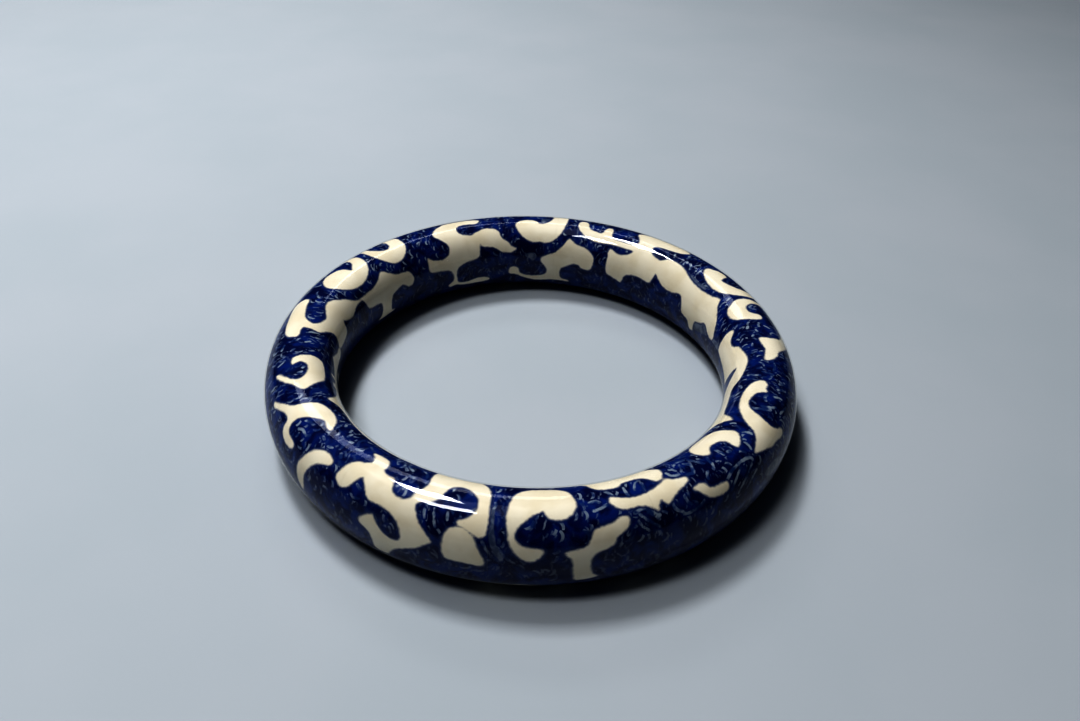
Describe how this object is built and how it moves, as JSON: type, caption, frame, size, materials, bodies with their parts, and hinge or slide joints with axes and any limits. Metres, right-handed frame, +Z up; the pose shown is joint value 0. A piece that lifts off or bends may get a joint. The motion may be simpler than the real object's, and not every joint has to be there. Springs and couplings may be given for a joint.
{
  "type": "bangle bracelet",
  "caption": "Closed rigid bangle bracelet: a chunky round ring covered in blue and cream printed paper scrollwork under a thin clear gloss coat, slipped on over the hand.",
  "frame": {"origin": "centre of the ring, on the surface that it lies on", "axes": "+Z up along the axis of the ring, out of its upper face; +X to the right when the bangle is seen from the front (-Y)"},
  "size_m": [0.079, 0.079, 0.0127],
  "materials": {
    "core": "turned and sanded, sealed, hidden under the paper",
    "print": "printed with cream scrollwork on a flecked navy ground, saturated with varnish",
    "coat": "clear high gloss, faintly yellow"
  },
  "bodies": {
    "root": {"core_ring": "core", "paper_strip_01": "print", "paper_strip_02": "print", "paper_strip_03": "print", "paper_strip_04": "print", "paper_strip_05": "print", "paper_strip_06": "print", "paper_strip_07": "print", "paper_strip_08": "print", "paper_strip_09": "print", "paper_strip_10": "print", "paper_strip_11": "print", "paper_strip_12": "print", "gloss_coat": "coat"}
  },
  "joints": []
}
